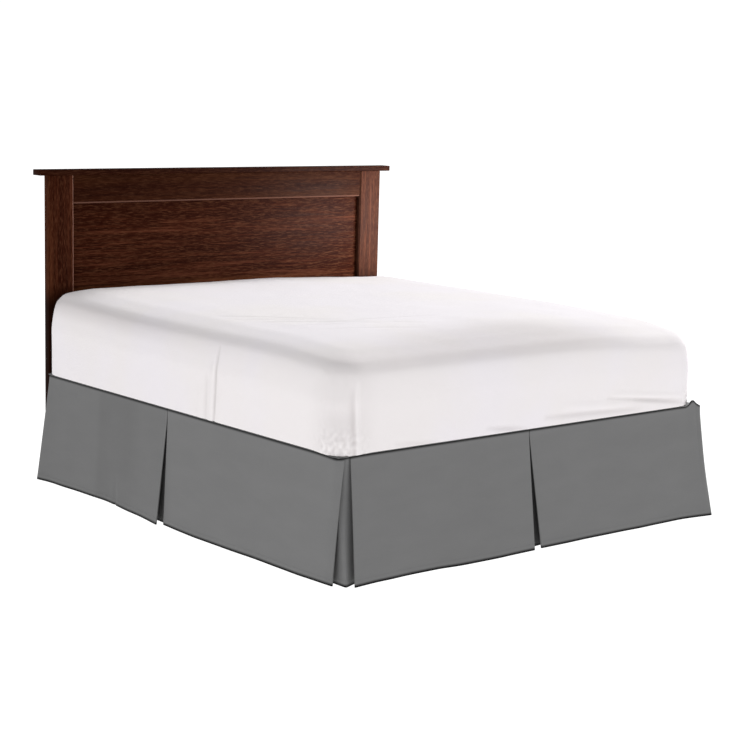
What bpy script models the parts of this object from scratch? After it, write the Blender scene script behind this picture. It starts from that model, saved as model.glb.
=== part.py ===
"""A pleated bed skirt on a king-size bed: headboard, steel base, box springs and mattress.

Metres, +Z up. The origin is on the floor under the middle of the bed. +Y points to the head, +X to
the right of someone at the foot who looks towards the head.
"""

import math
from collections import namedtuple

import bmesh
import bpy
from mathutils import Matrix, Vector

INCH = 0.0254

# The bed's plan and the skirt's drop
BED_WIDTH = 76 * INCH
BED_LENGTH = 80 * INCH
HALF_WIDTH = BED_WIDTH / 2
HALF_LENGTH = BED_LENGTH / 2
SKIRT_DROP = 18 * INCH
HEM_HEIGHT = 0.005
FLARED_DROP = 0.9945
SKIRT_TOP = HEM_HEIGHT + SKIRT_DROP * FLARED_DROP

# Seats between pieces that rest on or butt against each other
SEAT = 0.0003

# The skirt's cloth and how its pleats are laid
CLOTH = 0.0012
DECK_CLOTH = 0.0015
PLEAT_LAYER = 0.003
PLEAT_DEPTH = 0.075
PLEAT_GAP = 0.0024
HEM_FOLD = 0.003
CLOTH_TO_BASE = 0.0028

# The platform's border: the line that the outer layer's mid-surface follows, round at the corners
BORDER_CORNER = 0.016
PANEL_X = HALF_WIDTH - CLOTH / 2
PANEL_Y = HALF_LENGTH - CLOTH / 2
ARC_RADIUS = BORDER_CORNER - CLOTH / 2
ARC_LENGTH = ARC_RADIUS * math.pi / 2
FOOT_FLAT = PANEL_X - ARC_RADIUS
SIDE_FLAT = PANEL_Y - ARC_RADIUS

# Where the strips end and where their middle pleats are sewn, along the border
SIDE_HEAD_END = 0.985
SIDE_PLEAT_Y = 0.055
FOOT_PLEAT_X = -0.031
CORNER_WRAP = -0.004
CORNER_SPLIT = 0.020
CORNER_GAP = 0.004

# Mesh steps of the hanging cloth
ROWS = 7
PANEL_STEPS = 10
CORNER_STEPS = 5
LAYER_STEPS = 4
RETURN_STEPS = 11
FOLD_STEPS = 4

# How far each side panel's hem stands out from the bed, from the head end to the foot corner
SideFlare = namedtuple("SideFlare", "y out")
HEAD_PANEL_FLARE = [
    SideFlare(y=0.985, out=0.064),
    SideFlare(y=0.880, out=0.046),
    SideFlare(y=0.700, out=0.034),
    SideFlare(y=0.500, out=0.031),
    SideFlare(y=0.310, out=0.037),
    SideFlare(y=0.160, out=0.050),
    SideFlare(y=0.036, out=0.065),
]
FOOT_PANEL_FLARE = [
    SideFlare(y=0.020, out=0.041),
    SideFlare(y=-0.140, out=0.048),
    SideFlare(y=-0.450, out=0.043),
    SideFlare(y=-0.740, out=0.035),
    SideFlare(y=-0.950, out=0.027),
    SideFlare(y=-1.024, out=0.022),
]

# The same for the two panels across the foot, from left to right
EndFlare = namedtuple("EndFlare", "x out")
LEFT_PANEL_FLARE = [
    EndFlare(x=-0.928, out=0.068),
    EndFlare(x=-0.800, out=0.058),
    EndFlare(x=-0.655, out=0.055),
    EndFlare(x=-0.540, out=0.061),
    EndFlare(x=-0.430, out=0.073),
    EndFlare(x=-0.200, out=0.074),
    EndFlare(x=-0.046, out=0.073),
]
RIGHT_PANEL_FLARE = [
    EndFlare(x=-0.006, out=0.068),
    EndFlare(x=0.200, out=0.070),
    EndFlare(x=0.480, out=0.071),
    EndFlare(x=0.700, out=0.074),
    EndFlare(x=0.850, out=0.083),
    EndFlare(x=0.968, out=0.101),
]

# The corner insert: half its width, and how far its hem's ridge and two ends stand out
INSERT_LEG = 0.090
INSERT_STEPS = 5
RIDGE_SIDE_OUT = -0.009
RIDGE_FOOT_OUT = 0.051
INSERT_SIDE_END_OUT = -0.006
INSERT_FOOT_END_OUT = 0.008
RIDGE_RADIUS = 0.007
INSERT_EASE = 1.5

# The base under the skirt
BOX_HEIGHT = 9 * INCH
BOX_GAP = 0.003
BOX_CORNER = 0.030
BOX_EDGE = 0.010
BOX_TOP = SKIRT_TOP - SEAT
BOX_BOTTOM = BOX_TOP - BOX_HEIGHT
BOX_HALF_WIDTH = HALF_WIDTH - CLOTH - 2 * PLEAT_LAYER - CLOTH_TO_BASE
BOX_FOOT_Y = -(HALF_LENGTH - CLOTH - 2 * PLEAT_LAYER - CLOTH_TO_BASE)
BOX_HEAD_Y = HALF_LENGTH - 0.010

# Steel frame
TUBE = 0.040
TUBE_EDGE = 0.004
RAIL_TOP = BOX_BOTTOM - SEAT
RAIL_BOTTOM = RAIL_TOP - TUBE
RAIL_X = 0.868
RAIL_FOOT_Y = -0.940
CROSS_RAIL_Y = {"foot": -0.920, "middle": 0.0, "head": 0.940}
LEG_RADIUS = 0.019
LEG_FOOT_RADIUS = 0.027
LEG_FOOT_HEIGHT = 0.008
LEG_SIDES = 12
SIDE_LEG_Y = {"foot": -0.860, "middle": 0.060, "head": 0.880}
CENTRE_LEG_Y = {"foot": -0.600, "middle": 0.060, "head": 0.700}

# Mattress
MATTRESS_HALF_WIDTH = 0.966
MATTRESS_HALF_LENGTH = 1.018
MATTRESS_SIDE = 0.346
MATTRESS_FOOT_CORNER = 0.115
MATTRESS_HEAD_CORNER = 0.070
MATTRESS_TOP_EDGE = 0.058
MATTRESS_BOTTOM_EDGE = 0.012
CROWN_RINGS = [
    {"scale": 0.94, "rise": 0.017},
    {"scale": 0.84, "rise": 0.009},
    {"scale": 0.60, "rise": 0.004},
]

# Headboard
POST_WIDTH = 0.125
POST_DEPTH = 0.038
POST_OUTER_X = 0.931
POST_FRONT_Y = 1.047
POST_TOP = 1.316
BOARD_EDGE = 0.0025
CAP_HALF_WIDTH = 0.980
CAP_HEIGHT = 0.025
CAP_FRONT = 0.016
CAP_BACK = 0.010
RAIL_SETBACK = 0.003
RAIL_DEPTH = 0.032
TOP_RAIL_HEIGHT = 0.124
PANEL_SETBACK = 0.020
PANEL_DEPTH = 0.012
BOTTOM_RAIL_TOP = 0.500
BOTTOM_RAIL_HEIGHT = 0.124
PLATE_THICK = 0.005
PLATE_WIDTH = 0.060
PLATE_HEIGHT = 0.110


def clear_scene():
    for old in list(bpy.data.objects):
        bpy.data.objects.remove(old)


def finish(name, colour, roughness, metallic=0.0):
    """A plain material with the part's colour."""
    material = bpy.data.materials.new(name)
    material.use_nodes = True
    shader = material.node_tree.nodes["Principled BSDF"]
    shader.inputs["Base Color"].default_value = (*colour, 1)
    shader.inputs["Roughness"].default_value = roughness
    shader.inputs["Metallic"].default_value = metallic
    return material


def add_object(name, mesh, material, collection):
    mesh.materials.append(material)
    piece = bpy.data.objects.new(name, mesh)
    collection.objects.link(piece)
    return piece


def shape_to_object(name, shape, material, collection, smooth_angle=40):
    mesh = bpy.data.meshes.new(name)
    shape.to_mesh(mesh)
    shape.free()
    mesh.shade_smooth()
    mesh.set_sharp_from_angle(angle=math.radians(smooth_angle))
    return add_object(name, mesh, material, collection)


# Plan lines of the hanging cloth


def border(distance, out):
    """A plan point beside the platform's border, at a distance along it from the foot's middle.

    Distances to the right are positive. Past each foot corner the border goes on up the side.
    """
    side = 1 if distance >= 0 else -1
    along = abs(distance)
    if along <= FOOT_FLAT:
        return Vector((side * along, -(PANEL_Y + out)))
    turn = (along - FOOT_FLAT) / ARC_RADIUS
    if turn < math.pi / 2:
        reach = ARC_RADIUS + out
        return Vector(
            (side * (FOOT_FLAT + reach * math.sin(turn)), -(SIDE_FLAT + reach * math.cos(turn)))
        )
    return Vector((side * (PANEL_X + out), along - FOOT_FLAT - ARC_LENGTH - SIDE_FLAT))


def side_distance(y):
    """The distance along the border, from the foot's middle, of a place on the bed's side."""
    return FOOT_FLAT + ARC_LENGTH + SIDE_FLAT + y


def flare_at(rows, at):
    """How far the hem stands out at a place, on a smooth curve through the table's rows."""
    places = [row[0] for row in rows]
    values = [row.out for row in rows]
    if places[0] > places[-1]:
        places.reverse()
        values.reverse()
    at = min(max(at, places[0]), places[-1])
    span = max(i for i, place in enumerate(places[:-1]) if place <= at)

    def slope(i):
        before, after = max(i - 1, 0), min(i + 1, len(places) - 1)
        return (values[after] - values[before]) / (places[after] - places[before])

    width = places[span + 1] - places[span]
    t = (at - places[span]) / width
    return (
        values[span] * (1 + 2 * t) * (1 - t) ** 2
        + slope(span) * width * t * (1 - t) ** 2
        + values[span + 1] * t * t * (3 - 2 * t)
        - slope(span + 1) * width * t * t * (1 - t)
    )


# A run of cloth has its points (along, out) at the top edge and the same number at the hem
Run = namedtuple("Run", "top hem")


def steps(start, end, count):
    return [start + (end - start) * i / count for i in range(count + 1)]


def panel_run(top_ends, hem_ends, flare_rows, count):
    """A flat panel, sewn straight at the top and with its hem swung out as the flare table says."""
    top = [(along, 0.0) for along in steps(*top_ends, count)]
    hem = [(along, flare_at(flare_rows, along)) for along in steps(*hem_ends, count)]
    return Run(top, hem)


def fold(layer, towards, inwards, top_along, hem_along, hem_out):
    """A turn of the cloth about an upright edge, between pleat layers `layer` and `layer` + 1.

    `towards` is the way the edge points along the border. `inwards` is 1 where the cloth turns
    from the outer layer to the inner one and -1 where it comes back.
    """

    def arc(along, out, radius):
        angles = [math.pi * (0.5 - i / FOLD_STEPS) * inwards for i in range(FOLD_STEPS + 1)]
        return [
            (along + towards * radius * (math.cos(a) - 1), out + radius * math.sin(a))
            for a in angles
        ]

    top = arc(top_along, -(layer + 0.5) * PLEAT_LAYER, PLEAT_LAYER / 2)
    hem = arc(hem_along, hem_out, HEM_FOLD)
    return Run(top, hem)


def layer_run(before, after, count=LAYER_STEPS):
    """The stretch of cloth between two folds, without its end points."""
    lines = []
    for line_before, line_after in zip(before, after):
        start, end = Vector(line_before[-1]), Vector(line_after[0])
        lines.append([tuple(start.lerp(end, i / count)) for i in range(1, count)])
    return Run(*lines)


def inner_points(run, skip_first, skip_last):
    """A run without the end points that its neighbouring folds already have."""
    last = -1 if skip_last else None
    return Run(run.top[int(skip_first):last], run.hem[int(skip_first):last])


def hang_cloth(name, top_line, hem_line, material, collection, ease=1.0):
    """Cloth that falls from its plan line at the top to the one at the hem, then gets its thickness.

    With an ease above 1 the cloth falls straight down at first and swings out lower.
    """
    columns = len(top_line) - 1
    top_z = SKIRT_TOP - SEAT
    shape = bmesh.new()
    bmesh.ops.create_grid(shape, x_segments=columns, y_segments=ROWS, size=0.5)
    for vert in shape.verts:
        column = round((vert.co.x + 0.5) * columns)
        fall = 0.5 - vert.co.y
        plan = top_line[column].lerp(hem_line[column], fall**ease)
        vert.co = (plan.x, plan.y, top_z + (HEM_HEIGHT - top_z) * fall)
    piece = shape_to_object(name, shape, material, collection, smooth_angle=50)
    thicken = piece.modifiers.new("cloth thickness", "SOLIDIFY")
    thicken.thickness = CLOTH
    thicken.offset = 0
    return piece


def hang_strip(name, runs, top_place, hem_place, material, collection):
    top_line = [top_place(*point) for run in runs for point in run.top]
    hem_line = [hem_place(*point) for run in runs for point in run.hem]
    return hang_cloth(name, top_line, hem_line, material, collection)


# The skirt


def side_strip(side, material, collection):
    """One side's drop: head panel, box pleat, foot panel, and the return at the foot corner.

    The left strip's seam goes round the corner and a little way across the foot; the right one's
    stops short of the corner, because the foot's strip comes round it.
    """
    name = "skirt_drop_left" if side < 0 else "skirt_drop_right"
    past_corner = ARC_LENGTH + CORNER_WRAP if side < 0 else -CORNER_GAP
    corner_top = -(SIDE_FLAT + past_corner)
    corner_hem = FOOT_PANEL_FLARE[-1]
    head_hem, foot_hem = HEAD_PANEL_FLARE[-1], FOOT_PANEL_FLARE[0]
    corner_hem_start = -0.950

    head_panel = panel_run(
        (SIDE_HEAD_END, SIDE_PLEAT_Y + PLEAT_GAP),
        (HEAD_PANEL_FLARE[0].y, head_hem.y),
        HEAD_PANEL_FLARE,
        PANEL_STEPS,
    )
    foot_panel = panel_run(
        (SIDE_PLEAT_Y - PLEAT_GAP, -(SIDE_FLAT - BORDER_CORNER)),
        (foot_hem.y, corner_hem_start),
        FOOT_PANEL_FLARE,
        PANEL_STEPS,
    )
    corner_panel = panel_run(
        (-(SIDE_FLAT - BORDER_CORNER), corner_top),
        (corner_hem_start, corner_hem.y),
        FOOT_PANEL_FLARE,
        CORNER_STEPS + 1,
    )
    pleat_head, pleat_foot = SIDE_PLEAT_Y + PLEAT_DEPTH, SIDE_PLEAT_Y - PLEAT_DEPTH
    half_gap = PLEAT_GAP / 2
    head_edge = fold(0, -1, 1, SIDE_PLEAT_Y + half_gap, head_hem.y, head_hem.out - HEM_FOLD)
    head_inner = fold(1, 1, 1, pleat_head, head_hem.y + PLEAT_DEPTH, 0.022)
    foot_inner = fold(1, -1, -1, pleat_foot, foot_hem.y - PLEAT_DEPTH, 0.030)
    foot_edge = fold(0, 1, -1, SIDE_PLEAT_Y - half_gap, foot_hem.y, foot_hem.out - HEM_FOLD)
    corner_edge = fold(0, -1, 1, corner_top, corner_hem.y, corner_hem.out - HEM_FOLD)
    last_return = Run(
        [(corner_top + PLEAT_DEPTH, -PLEAT_LAYER)],
        [(corner_hem.y + PLEAT_DEPTH, 0.012)],
    )
    runs = [
        inner_points(head_panel, False, True),
        head_edge,
        layer_run(head_edge, head_inner),
        head_inner,
        layer_run(head_inner, foot_inner),
        foot_inner,
        layer_run(foot_inner, foot_edge),
        foot_edge,
        inner_points(foot_panel, True, True),
        inner_points(corner_panel, False, True),
        corner_edge,
        layer_run(corner_edge, last_return, RETURN_STEPS),
        last_return,
    ]

    def top_place(y, out):
        return border(side * side_distance(y), out)

    def hem_place(y, out):
        return Vector((side * (PANEL_X + out), y))

    return hang_strip(name, runs, top_place, hem_place, material, collection)


def foot_strip(material, collection):
    """The foot's drop: a return behind each end, and two panels with a box pleat between them."""
    left_top = -(FOOT_FLAT - CORNER_WRAP - CORNER_SPLIT)
    right_top = FOOT_FLAT + ARC_LENGTH
    left_hem, left_pleat_hem = LEFT_PANEL_FLARE[0], LEFT_PANEL_FLARE[-1]
    right_pleat_hem, right_hem = RIGHT_PANEL_FLARE[0], RIGHT_PANEL_FLARE[-1]
    corner_hem_start = 0.900

    left_panel = panel_run(
        (left_top, FOOT_PLEAT_X - PLEAT_GAP),
        (left_hem.x, left_pleat_hem.x),
        LEFT_PANEL_FLARE,
        PANEL_STEPS,
    )
    right_panel = panel_run(
        (FOOT_PLEAT_X + PLEAT_GAP, FOOT_FLAT - BORDER_CORNER),
        (right_pleat_hem.x, corner_hem_start),
        RIGHT_PANEL_FLARE,
        PANEL_STEPS,
    )
    corner_panel = panel_run(
        (FOOT_FLAT - BORDER_CORNER, right_top),
        (corner_hem_start, right_hem.x),
        RIGHT_PANEL_FLARE,
        CORNER_STEPS + 1,
    )
    pleat_left, pleat_right = FOOT_PLEAT_X - PLEAT_DEPTH, FOOT_PLEAT_X + PLEAT_DEPTH
    half_gap = PLEAT_GAP / 2
    first_return = Run(
        [(left_top + PLEAT_DEPTH, -PLEAT_LAYER)],
        [(left_hem.x + PLEAT_DEPTH, 0.042)],
    )
    left_edge = fold(0, -1, -1, left_top, left_hem.x, left_hem.out - HEM_FOLD)
    pleat_left_edge = fold(
        0, 1, 1, FOOT_PLEAT_X - half_gap, left_pleat_hem.x, left_pleat_hem.out - HEM_FOLD
    )
    inner_left = fold(1, -1, 1, pleat_left, left_pleat_hem.x - PLEAT_DEPTH, 0.045)
    inner_right = fold(1, 1, -1, pleat_right, right_pleat_hem.x + PLEAT_DEPTH, 0.028)
    pleat_right_edge = fold(
        0, -1, -1, FOOT_PLEAT_X + half_gap, right_pleat_hem.x, right_pleat_hem.out - HEM_FOLD
    )
    right_edge = fold(0, 1, 1, right_top, right_hem.x, right_hem.out - HEM_FOLD)
    last_return = Run(
        [(right_top - PLEAT_DEPTH, -PLEAT_LAYER)],
        [(right_hem.x - PLEAT_DEPTH, 0.060)],
    )
    runs = [
        first_return,
        layer_run(first_return, left_edge),
        left_edge,
        inner_points(left_panel, True, True),
        pleat_left_edge,
        layer_run(pleat_left_edge, inner_left),
        inner_left,
        layer_run(inner_left, inner_right),
        inner_right,
        layer_run(inner_right, pleat_right_edge),
        pleat_right_edge,
        inner_points(right_panel, True, True),
        inner_points(corner_panel, False, True),
        right_edge,
        layer_run(right_edge, last_return, RETURN_STEPS),
        last_return,
    ]

    def hem_place(x, out):
        return Vector((x, -(PANEL_Y + out)))

    return hang_strip("skirt_drop_foot", runs, border, hem_place, material, collection)


def corner_insert(side, material, collection):
    """The piece behind a split foot corner: flat round the platform's corner, ridged at its hem."""
    name = "skirt_corner_left" if side < 0 else "skirt_corner_right"
    depth = 2 * PLEAT_LAYER
    side_start = FOOT_FLAT + ARC_LENGTH
    distances = (
        steps(side_start + INSERT_LEG, side_start, INSERT_STEPS)
        + steps(side_start, FOOT_FLAT, CORNER_STEPS)[1:-1]
        + steps(FOOT_FLAT, FOOT_FLAT - INSERT_LEG, INSERT_STEPS)
    )
    top_line = [border(side * distance, -depth) for distance in distances]

    ridge = Vector((PANEL_X + RIDGE_SIDE_OUT, -(PANEL_Y + RIDGE_FOOT_OUT)))
    side_end = Vector((PANEL_X + INSERT_SIDE_END_OUT, -SIDE_FLAT + INSERT_LEG))
    foot_end = Vector((FOOT_FLAT - INSERT_LEG, -(PANEL_Y + INSERT_FOOT_END_OUT)))
    from_side = ridge + (side_end - ridge).normalized() * RIDGE_RADIUS
    to_foot = ridge + (foot_end - ridge).normalized() * RIDGE_RADIUS
    bend = [from_side.lerp(ridge, t).lerp(ridge.lerp(to_foot, t), t) for t in steps(0, 1, CORNER_STEPS)]
    hem_line = (
        [side_end.lerp(from_side, t) for t in steps(0, 1, INSERT_STEPS)]
        + bend[1:-1]
        + [to_foot.lerp(foot_end, t) for t in steps(0, 1, INSERT_STEPS)]
    )
    hem_line = [Vector((side * point.x, point.y)) for point in hem_line]
    return hang_cloth(name, top_line, hem_line, material, collection, INSERT_EASE)


def upright_edges(shape, height):
    return [e for e in shape.edges if abs(e.verts[0].co.z - e.verts[1].co.z) > height / 2]


def round_edges(shape, edges, radius, segments):
    bmesh.ops.bevel(
        shape,
        geom=edges,
        offset=radius,
        segments=segments,
        profile=0.5,
        affect="EDGES",
        material=-1,
    )


def block(low, high):
    """A bmesh box between two opposite corners."""
    size, centre = Vector(high) - Vector(low), (Vector(high) + Vector(low)) / 2
    shape = bmesh.new()
    place = Matrix.Translation(centre) @ Matrix.Diagonal((*size, 1))
    bmesh.ops.create_cube(shape, size=1, matrix=place)
    return shape


def soften_rims(shape, levels):
    """Round the edges of a block's top or bottom face: each level gives its height and radius."""
    for level, radius in levels:
        rim = [e for e in shape.edges if all(abs(v.co.z - level) < 1e-6 for v in e.verts)]
        round_edges(shape, rim, radius, 3)


def build_deck(material, collection):
    """The skirt's flat platform, which lies on the box springs and carries the drop at its border."""
    shape = block(
        (-HALF_WIDTH, -HALF_LENGTH, SKIRT_TOP),
        (HALF_WIDTH, HALF_LENGTH, SKIRT_TOP + DECK_CLOTH),
    )
    round_edges(shape, upright_edges(shape, DECK_CLOTH), BORDER_CORNER, CORNER_STEPS)
    shape_to_object("skirt_deck", shape, material, collection)


# The bed


def build_mattress(material, collection):
    """The sheeted mattress, with soft shoulders and a low crown."""
    bottom = SKIRT_TOP + DECK_CLOTH + SEAT
    top = bottom + MATTRESS_SIDE
    shape = block(
        (-MATTRESS_HALF_WIDTH, -MATTRESS_HALF_LENGTH, bottom),
        (MATTRESS_HALF_WIDTH, MATTRESS_HALF_LENGTH, top),
    )
    uprights = upright_edges(shape, MATTRESS_SIDE)
    foot = [e for e in uprights if e.verts[0].co.y < 0]
    head = [e for e in uprights if e.verts[0].co.y > 0]
    round_edges(shape, foot, MATTRESS_FOOT_CORNER, 6)
    round_edges(shape, head, MATTRESS_HEAD_CORNER, 5)
    soften_rims(shape, [(top, MATTRESS_TOP_EDGE), (bottom, MATTRESS_BOTTOM_EDGE)])
    middle = max(shape.faces, key=lambda f: (round(f.calc_center_median().z, 6), f.calc_area()))
    for ring in CROWN_RINGS:
        bmesh.ops.inset_region(shape, faces=[middle], thickness=0.001, use_even_offset=True)
        bmesh.ops.scale(shape, verts=middle.verts, vec=(ring["scale"], ring["scale"], 1))
        bmesh.ops.translate(shape, verts=middle.verts, vec=(0, 0, ring["rise"]))
    shape_to_object("mattress", shape, material, collection)


def build_box_springs(material, collection):
    """Two half-width box springs side by side, as a king-size base is made."""
    for side, word in ((-1, "left"), (1, "right")):
        inner, outer = side * BOX_GAP / 2, side * BOX_HALF_WIDTH
        shape = block(
            (min(inner, outer), BOX_FOOT_Y, BOX_BOTTOM),
            (max(inner, outer), BOX_HEAD_Y, BOX_TOP),
        )
        round_edges(shape, upright_edges(shape, BOX_HEIGHT), BOX_CORNER, 4)
        soften_rims(shape, [(BOX_TOP, BOX_EDGE), (BOX_BOTTOM, BOX_EDGE)])
        shape_to_object(f"box_spring_{word}", shape, material, collection)


def board(name, low, high, edge, material, collection):
    """A plain board or tube from its two opposite corners, with eased edges."""
    size, centre = Vector(high) - Vector(low), (Vector(high) + Vector(low)) / 2
    shape = block(-size / 2, size / 2)
    piece = shape_to_object(name, shape, material, collection)
    piece.location = centre
    ease = piece.modifiers.new("eased edges", "BEVEL")
    ease.width = edge
    ease.segments = 2
    return piece


def build_leg(name, x, y, material, collection):
    """A turned steel leg with a wider foot."""
    profile = [
        (0, RAIL_BOTTOM - SEAT),
        (LEG_RADIUS, RAIL_BOTTOM - SEAT),
        (LEG_RADIUS, LEG_FOOT_HEIGHT * 2),
        (LEG_FOOT_RADIUS, LEG_FOOT_HEIGHT),
        (LEG_FOOT_RADIUS, 0),
        (0, 0),
    ]
    shape = bmesh.new()
    verts = [shape.verts.new((radius, 0, z)) for radius, z in profile]
    for upper, lower in zip(verts, verts[1:]):
        shape.edges.new((upper, lower))
    piece = shape_to_object(name, shape, material, collection)
    piece.location = (x, y, 0)
    turn = piece.modifiers.new("turned", "SCREW")
    turn.steps = LEG_SIDES
    turn.render_steps = LEG_SIDES
    turn.use_merge_vertices = True
    turn.merge_threshold = 0.0001
    return piece


def build_frame(material, collection):
    """Steel rails, legs and the two plates that hold the headboard."""
    half = TUBE / 2
    plate_back = POST_FRONT_Y - SEAT
    plate_front = plate_back - PLATE_THICK
    for side, word in ((-1, "left"), (1, "right")):
        x = side * RAIL_X
        board(
            f"frame_rail_{word}",
            (x - half, RAIL_FOOT_Y, RAIL_BOTTOM),
            (x + half, plate_front - SEAT, RAIL_TOP),
            TUBE_EDGE,
            material,
            collection,
        )
        board(
            f"headboard_plate_{word}",
            (x - PLATE_WIDTH / 2, plate_front, RAIL_TOP - PLATE_HEIGHT),
            (x + PLATE_WIDTH / 2, plate_back, RAIL_TOP),
            PLATE_THICK / 4,
            material,
            collection,
        )
        for place, y in SIDE_LEG_Y.items():
            build_leg(f"leg_{word}_{place}", x, y, material, collection)
    inner = RAIL_X - half - SEAT
    for place, y in CROSS_RAIL_Y.items():
        board(
            f"cross_rail_{place}",
            (-inner, y - half, RAIL_BOTTOM),
            (inner, y + half, RAIL_TOP),
            TUBE_EDGE,
            material,
            collection,
        )
    for start, end in (("foot", "middle"), ("middle", "head")):
        board(
            f"centre_rail_{start}_{end}",
            (-half, CROSS_RAIL_Y[start] + half + SEAT, RAIL_BOTTOM),
            (half, CROSS_RAIL_Y[end] - half - SEAT, RAIL_TOP),
            TUBE_EDGE,
            material,
            collection,
        )
    for place, y in CENTRE_LEG_Y.items():
        build_leg(f"leg_centre_{place}", 0, y, material, collection)


def build_headboard(material, collection):
    """Two posts, a cap, two rails and a recessed panel."""
    post_inner = POST_OUTER_X - POST_WIDTH
    post_back = POST_FRONT_Y + POST_DEPTH
    for side, word in ((-1, "left"), (1, "right")):
        low_x, high_x = sorted((side * post_inner, side * POST_OUTER_X))
        board(
            f"headboard_post_{word}",
            (low_x, POST_FRONT_Y, 0),
            (high_x, post_back, POST_TOP - SEAT),
            BOARD_EDGE,
            material,
            collection,
        )
    board(
        "headboard_cap",
        (-CAP_HALF_WIDTH, POST_FRONT_Y - CAP_FRONT, POST_TOP),
        (CAP_HALF_WIDTH, post_back + CAP_BACK, POST_TOP + CAP_HEIGHT),
        BOARD_EDGE,
        material,
        collection,
    )
    rail_half = post_inner - SEAT
    rail_front = POST_FRONT_Y + RAIL_SETBACK
    top_rail_bottom = POST_TOP - TOP_RAIL_HEIGHT
    board(
        "headboard_top_rail",
        (-rail_half, rail_front, top_rail_bottom),
        (rail_half, rail_front + RAIL_DEPTH, POST_TOP - SEAT),
        BOARD_EDGE,
        material,
        collection,
    )
    board(
        "headboard_bottom_rail",
        (-rail_half, rail_front, BOTTOM_RAIL_TOP - BOTTOM_RAIL_HEIGHT),
        (rail_half, rail_front + RAIL_DEPTH, BOTTOM_RAIL_TOP),
        BOARD_EDGE,
        material,
        collection,
    )
    panel_front = POST_FRONT_Y + PANEL_SETBACK
    board(
        "headboard_panel",
        (-rail_half, panel_front, BOTTOM_RAIL_TOP + SEAT),
        (rail_half, panel_front + PANEL_DEPTH, top_rail_bottom - SEAT),
        BOARD_EDGE / 5,
        material,
        collection,
    )


def main():
    clear_scene()
    collection = bpy.data.collections.new("bed with pleated skirt")
    bpy.context.scene.collection.children.link(collection)
    grey_cloth = finish("grey_cloth", (0.18, 0.18, 0.18), 0.9)
    deck_cloth = finish("deck_cloth", (0.20, 0.20, 0.20), 0.9)
    white_sheet = finish("white_sheet", (0.82, 0.80, 0.81), 0.85)
    ticking = finish("ticking", (0.62, 0.60, 0.56), 0.9)
    dark_wood = finish("dark_wood", (0.055, 0.018, 0.010), 0.4)
    steel = finish("steel", (0.03, 0.03, 0.03), 0.45, 0.6)

    build_deck(deck_cloth, collection)
    side_strip(-1, grey_cloth, collection)
    foot_strip(grey_cloth, collection)
    side_strip(1, grey_cloth, collection)
    corner_insert(-1, grey_cloth, collection)
    corner_insert(1, grey_cloth, collection)
    build_mattress(white_sheet, collection)
    build_box_springs(ticking, collection)
    build_frame(steel, collection)
    build_headboard(dark_wood, collection)


main()
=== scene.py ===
import math
from collections import namedtuple
from functools import partial

import bmesh
import bpy
from mathutils import Matrix, Vector, noise


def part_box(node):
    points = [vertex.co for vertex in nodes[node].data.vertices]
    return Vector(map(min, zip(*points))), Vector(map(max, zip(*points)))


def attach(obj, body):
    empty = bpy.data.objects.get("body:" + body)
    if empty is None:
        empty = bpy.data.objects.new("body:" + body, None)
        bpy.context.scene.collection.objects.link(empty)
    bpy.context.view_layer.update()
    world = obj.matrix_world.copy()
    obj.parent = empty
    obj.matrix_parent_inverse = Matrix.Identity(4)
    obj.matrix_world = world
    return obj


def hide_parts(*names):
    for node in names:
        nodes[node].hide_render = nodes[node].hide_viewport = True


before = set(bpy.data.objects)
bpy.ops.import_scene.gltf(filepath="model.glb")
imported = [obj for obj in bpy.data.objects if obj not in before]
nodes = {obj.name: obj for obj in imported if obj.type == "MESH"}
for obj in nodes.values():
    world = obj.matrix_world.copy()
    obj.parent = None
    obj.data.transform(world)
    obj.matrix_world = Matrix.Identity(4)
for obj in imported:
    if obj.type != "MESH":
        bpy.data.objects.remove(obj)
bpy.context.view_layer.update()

# The camera
# It stands off the bed's left foot corner, a little higher than the headboard, with a long lens,
# and it leans slightly.
CAMERA_PLACE = (-4.6475, -5.5662, 1.7392)
CAMERA_AZIMUTH = -40.1609
CAMERA_LOOKS_DOWN = 9.5442
CAMERA_LEAN = 1.5643
CAMERA_LENS_MM = 82.94

camera = bpy.data.objects.new("camera", bpy.data.cameras.new("camera"))
bpy.context.scene.collection.objects.link(camera)
camera.data.lens = CAMERA_LENS_MM
camera.data.sensor_width = 36
camera.data.clip_end = 300
camera.matrix_world = (
    Matrix.Translation(CAMERA_PLACE)
    @ Matrix.Rotation(math.radians(CAMERA_AZIMUTH), 4, "Z")
    @ Matrix.Rotation(math.radians(90 - CAMERA_LOOKS_DOWN), 4, "X")
    @ Matrix.Rotation(math.radians(CAMERA_LEAN), 4, "Z")
)
bpy.context.scene.camera = camera


# The steel base
# Welded square tube for the sides, ends and middle, on turned legs, with a plate at each side that
# carries the headboard. All of it has a fine-textured black powder coat.
STEEL_BLACK = (0.012, 0.012, 0.013)
STEEL_WORDS = ("frame_rail", "cross_rail", "centre_rail", "leg_", "headboard_plate")


class Value:
    """An output in a finish's graph. Arithmetic on it adds Math nodes."""

    def __init__(self, finish, socket):
        self.finish = finish
        self.socket = socket

    def math(self, operation, *numbers):
        return self.finish.node("ShaderNodeMath", {"operation": operation}, dict(enumerate(numbers)))

    def __add__(self, other):
        return self.math("ADD", self, other)

    def __radd__(self, other):
        return self.math("ADD", other, self)

    def __sub__(self, other):
        return self.math("SUBTRACT", self, other)

    def __rsub__(self, other):
        return self.math("SUBTRACT", other, self)

    def __mul__(self, other):
        return self.math("MULTIPLY", self, other)

    def __rmul__(self, other):
        return self.math("MULTIPLY", other, self)

    def sine(self):
        return self.math("SINE", self)

    def size(self):
        return self.math("ABSOLUTE", self)


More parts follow.
